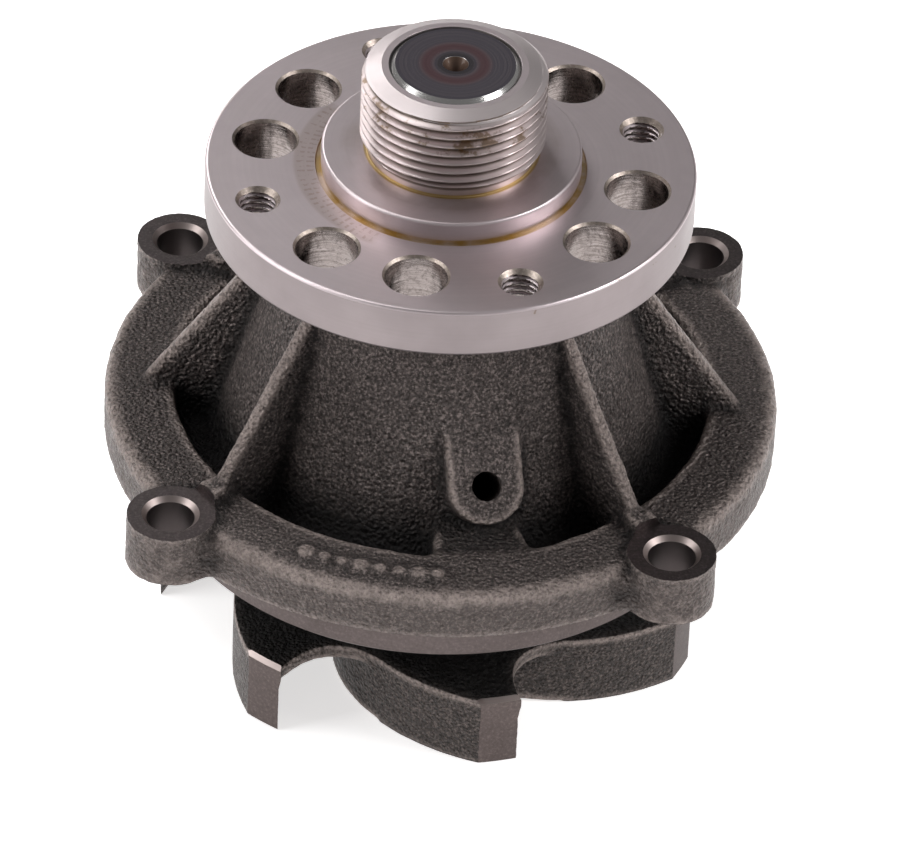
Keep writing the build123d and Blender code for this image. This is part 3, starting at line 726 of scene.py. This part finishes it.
# ------------------------------------------------------------------ housing
VOX = 0.46
housing = cad_copy("pump_housing", "pump_housing_cast")
_v = get_verts(housing.data)
CAD_LO, CAD_HI = _v.min(0), _v.max(0)
stock = [axis_lathe("s", [(24.5, -15.2), (24.5, -3.0), (24.5, 5.0), (27.2, 8.0), (27.2, 48.5), (31.4, 49.5), (31.4, 52.6)], 96)]
for a in EAR_ANGLES:
    stock.append(axis_lathe("s", [(8.35, -1.2), (8.45, 3.0), (8.5, 12.4)], 64, at=pol(EAR_PCR, a)))
stock.append(ring_lathe("s", [(50.0, -1.2), (65.7, -1.2), (65.8, 1.5), (50.0, 1.5)], 160))
stock.append(ring_lathe("s", [(49.2, -15.2), (56.2, -15.2), (56.2, 0.5), (49.2, 0.5)], 160))
# drain boss axes
WA, WT = math.radians(285.6), math.radians(38.0)
wn = Vector((math.cos(WT) * math.cos(WA), math.cos(WT) * math.sin(WA), math.sin(WT)))
wx = Vector((-math.sin(WA), math.cos(WA), 0))
wy = wn.cross(wx)
WM = Matrix(((wx.x, wy.x, wn.x, 44.3 * math.cos(WA)), (wx.y, wy.y, wn.y, 44.3 * math.sin(WA)),
             (wx.z, wy.z, wn.z, 19.2), (0, 0, 0, 1)))
stock.append(axis_lathe("s", [(3.4, -26.0), (3.4, -0.4)], 40, frame_m=WM))
# plain foundry pips on the rim, in place of lettering
for k, a in enumerate(np.linspace(249.0, 274.0, 8)):
    x, y = pol(59.6, a)
    rr = 1.35 if k % 3 else 1.8
    stock.append(axis_lathe("s", [(rr, 8.5), (rr, 10.75), (rr * 0.8, 11.1)], 24, at=(x, y)))
join(housing, stock)
remesh(housing, VOX)
smooth(housing.data, 6, 0.55)
hollow_fillets(housing.data, 26)
web_blend(housing.data, 40)
cast_skin(housing.data, 11)
set_verts(housing.data, np.clip(get_verts(housing.data), CAD_LO, CAD_HI))
# register, mounting face and end face in one turning, then the bores
cutters = []
cutters.append(ring_lathe("c", [(55.0, 0.0), (90.0, 0.0), (90.0, -25.0), (54.2 - 4, -25.0), (54.2 - 4, -14.0), (54.2, -14.0), (55.0, -13.2)], 256))
cutters.append(axis_lathe("c", [(51.0, -25.5), (51.0, -14.0), (26.0, -14.0), (26.0, -13.5), (18.5, -13.5), (18.5, -3.5), (21.0, -3.5),
                                (21.0, 9.0), (26.0, 9.0), (26.0, 50.9), (26.6, 51.5), (40.0, 51.5), (40.0, 60.0)], 192))
for a in EAR_ANGLES:
    cutters.append(axis_lathe("c", [(4.65, -3.0), (4.65, 10.05), (5.6, 11.0), (9.1, 11.0), (9.1, 23.0)], 96, at=pol(EAR_PCR, a)))
cutters.append(axis_lathe("c", [(2.85, -30.0), (2.85, -0.25), (3.15, 0.05), (3.15, 3.0)], 64, frame_m=WM))
mark_edges(housing)
cut(housing, cutters)
me = housing.data
me.materials.clear()
for m in (M_CAST, M_FACE, M_EDGE, M_REG, M_HOLE):
    me.materials.append(m)
c, n = face_data(me)
fr = np.hypot(c[:, 0], c[:, 1])
idx = np.zeros(len(c), dtype=int)
for a in EAR_ANGLES:
    ex, ey = pol(EAR_PCR, a)
    d = np.hypot(c[:, 0] - ex, c[:, 1] - ey)
    idx[(d < 9.2) & (np.abs(c[:, 2] - 11.0) < 0.02) & (n[:, 2] > 0.9)] = 1
    idx[(d < 5.65) & (d > 4.6) & (c[:, 2] > 10.0) & (n[:, 2] > 0.3) & (n[:, 2] < 0.9)] = 2
    idx[(d < 4.75) & (np.abs(n[:, 2]) < 0.1)] = 4
    idx[(np.abs(d - 9.1) < 0.08) & (c[:, 2] > 11.0) & (np.abs(n[:, 2]) < 0.1)] = 1
idx[(np.abs(c[:, 2]) < 0.02) & (n[:, 2] < -0.9)] = 3
idx[(fr > 54.1) & (fr < 55.1) & (c[:, 2] < -0.01)] = 3
idx[(c[:, 2] < -13.4) & (n[:, 2] < -0.9)] = 3
idx[(fr < 26.7) & (c[:, 2] > -13.6) & ((np.abs(fr - 26.0) < 0.08) | (fr < 21.1))] = 3
idx[(np.abs(c[:, 2] - 51.5) < 0.02)] = 3
me.polygons.foreach_set("material_index", idx)
finish_mesh(housing, 38)
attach(housing, "housing")
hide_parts("pump_housing")

# ------------------------------------------------------------------ impeller
imp = cad_copy("impeller", "impeller_cast")
stock = [axis_lathe("s", [(12.0, -40.3), (12.0, -23.3)], 64)]
for k in range(N_VANES):
    t = VANE_ANGLE + k * 360.0 / N_VANES
    outer = [pol(IMP_R + SPIRAL * (-d), t - TIP_DEG - d) for d in (-2.4, 0, 4, 8, 12, 18, 24, 30, 36, 42, 48, 54, 60)]
    inner = [pol(IMP_R - SPIRAL * d, t - d) for d in (60, 54, 48, 42, 36, 30, 24, 18, 12, 8, 4, 0, -2.4)]
    stock.append(prism("s", outer + inner, VANE_BOTTOM + 5.0, IMP_TOP - 0.05))
    cut_in = [p for p in outer[:7]] + [p for p in inner[6:]]
    stock.append(prism("s", cut_in, VANE_BOTTOM - 1.0, -36.0))
join(imp, stock)
remesh(imp, VOX)
smooth(imp.data, 6, 0.5)
hollow_fillets(imp.data, 18)
cast_skin(imp.data, 47, 0.32)
cutters = [ring_lathe("c", [(IMP_R, -50.0), (IMP_R, IMP_TOP - 0.9), (IMP_R - 0.85, IMP_TOP - 0.05), (IMP_R - 0.85, -20.0), (62.0, -20.0), (62.0, -50.0)], 360),
           axis_lathe("c", [(58.0, -52.0), (58.0, VANE_BOTTOM)], 180),
           axis_lathe("c", [(9.5, -46.0), (9.5, -18.0)], 96)]
mark_edges(imp)
cut(imp, cutters)
me = imp.data
me.materials.clear()
for m in (M_IMP, M_VANE, M_EDGE):
    me.materials.append(m)
c, n = face_data(me)
fr = np.hypot(c[:, 0], c[:, 1])
nr = (c[:, 0] * n[:, 0] + c[:, 1] * n[:, 1]) / np.maximum(fr, 1e-6)
idx = np.zeros(len(c), dtype=int)
idx[(np.abs(fr - IMP_R) < 0.06) & (nr > 0.98)] = 1
idx[(np.abs(c[:, 2] - VANE_BOTTOM) < 0.02) & (n[:, 2] < -0.9)] = 1
idx[(fr < 9.6)] = 1
idx[(fr > IMP_R - 0.9) & (c[:, 2] > IMP_TOP - 1.0) & (n[:, 2] > 0.3) & (nr > 0.3)] = 2
me.polygons.foreach_set("material_index", idx)
finish_mesh(imp, 38)
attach(imp, "rotor")
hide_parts("impeller")

# ------------------------------------------------------------------ stage
def stage_look(name, col):
    g = Mat(name)
    f = g.noise(3.0, 2.0, 0.5)
    return g.set(Base_Color=g.mix(f, col, tuple(c * 0.985 for c in col)), Roughness=0.7,
                 Emission_Color=(1.0, 0.985, 0.98), Emission_Strength=g.rng(g.y, -0.34, -0.17, 0.22, 0.66))


floor = make_object("floor", [(-4000, -4000, -41.75), (4000, -4000, -41.75), (4000, 4000, -41.75), (-4000, 4000, -41.75)], [(0, 1, 2, 3)])
floor.data.materials.append(stage_look("pale_floor", (0.93, 0.93, 0.93)))

world = bpy.data.worlds.new("studio")
bpy.context.scene.world = world
world.use_nodes = True
wt = world.node_tree
bg = wt.nodes["Background"]
co = wt.nodes.new("ShaderNodeTexCoord")
sp = wt.nodes.new("ShaderNodeSeparateXYZ")
wt.links.new(co.outputs["Generated"], sp.inputs[0])
mr = wt.nodes.new("ShaderNodeMapRange")
mr.inputs[1].default_value, mr.inputs[2].default_value = -0.1, 0.9
mr.inputs[3].default_value, mr.inputs[4].default_value = 0.26, 0.14
wt.links.new(sp.outputs[2], mr.inputs[0])
wt.links.new(mr.outputs[0], bg.inputs["Strength"])
bg.inputs["Color"].default_value = (1.0, 0.985, 0.98, 1)


def area(name, loc, target, size, power, colour=(1, 1, 1)):
    li = bpy.data.lights.new(name, "AREA")
    li.shape = "RECTANGLE"
    li.size, li.size_y = size
    li.energy = power
    li.color = colour
    ob = bpy.data.objects.new(name, li)
    bpy.context.scene.collection.objects.link(ob)
    ob.location = loc
    d = Vector(target) - Vector(loc)
    ob.rotation_euler = d.to_track_quat("-Z", "Y").to_euler()
    return ob


area("left", (-1.25, -0.35, 0.62), (0, 0, 0.02), (0.7, 0.9), 11.0)
area("right", (1.15, -0.15, 0.78), (0, 0, 0.02), (0.5, 0.8), 12.0)
area("top_left", (-0.50, 0.12, 1.15), (0, 0, 0.04), (0.50, 0.50), 4.0)
area("back_left", (-0.75, 1.05, 0.85), (0, 0, 0.04), (0.8, 0.5), 6.5)

# ------------------------------------------------------------------ camera
E_, L_, F_ = 0.632413568, 1634.52378, 8495.11435
AX, AY, AZ = 0.0303544293, -0.00121973183, 0.0445704520


def rot3(ax, ay, az):
    cx, sx, cy, sy, cz, sz = math.cos(ax), math.sin(ax), math.cos(ay), math.sin(ay), math.cos(az), math.sin(az)
    rx = np.array([[1, 0, 0], [0, cx, -sx], [0, sx, cx]])
    ry = np.array([[cy, 0, sy], [0, 1, 0], [-sy, 0, cy]])
    rz = np.array([[cz, -sz, 0], [sz, cz, 0], [0, 0, 1]])
    return rz @ ry @ rx


P = L_ * np.array([0, -math.cos(E_), math.sin(E_)])
fwd = -P / L_
right = np.array([1.0, 0, 0])
up = np.cross(right, fwd)
R = rot3(AX, AY, AZ) @ np.stack([right, -up, fwd])
turn = rot3(0, 0, math.radians(3.1))
loc = turn @ P + np.array([0, 0, ZF])
axes = [turn @ R[0], turn @ -R[1], turn @ -R[2]]
cam = bpy.data.cameras.new("camera")
cam.sensor_fit = "HORIZONTAL"
cam.sensor_width = 36.0
cam.lens = F_ / 900.0 * 36.0
cam.clip_start, cam.clip_end = 0.05, 50.0
cam_ob = bpy.data.objects.new("camera", cam)
bpy.context.scene.collection.objects.link(cam_ob)
m = Matrix.Identity(4)
for j in range(3):
    for i in range(3):
        m[i][j] = float(axes[j][i])
for i in range(3):
    m[i][3] = float(loc[i]) * MM
cam_ob.matrix_world = m
bpy.context.scene.camera = cam_ob
bpy.context.scene.view_settings.view_transform = "Standard"
